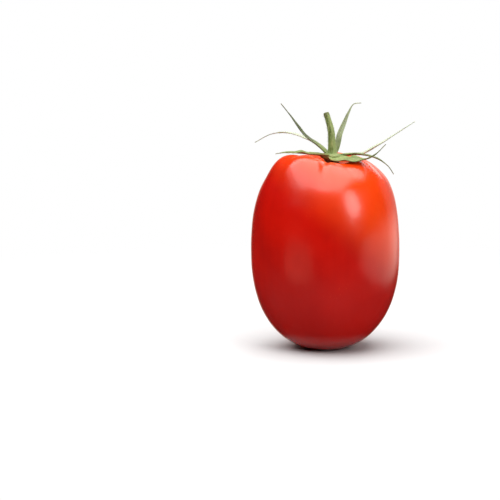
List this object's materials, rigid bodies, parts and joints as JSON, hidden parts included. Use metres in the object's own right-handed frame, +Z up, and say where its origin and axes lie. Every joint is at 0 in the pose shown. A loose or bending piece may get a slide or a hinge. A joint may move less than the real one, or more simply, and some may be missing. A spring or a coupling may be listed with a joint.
{
  "type": "tomato",
  "caption": "Ripe plum tomato standing on its blossom end, with a green calyx of narrow curling sepals and a short bent stem.",
  "frame": {"origin": "middle of the small flat spot at the blossom end, which the tomato stands on", "axes": "+Z up along the fruit's axis to the stem; -Y towards the picture's camera; +X to the picture's right"},
  "size_m": [0.0581, 0.0519, 0.0869],
  "materials": {
    "skin": "glossy thin tomato skin, red with orange mottling and fine pale specks",
    "sepal": "matt green leaf with pale veins and fine short hairs",
    "stalk": "matt green stalk with lengthwise ridges, fine hairs and a dry cut end"
  },
  "bodies": {
    "root": {"fruit": "skin", "calyx": "sepal", "stem": "stalk"}
  },
  "joints": []
}
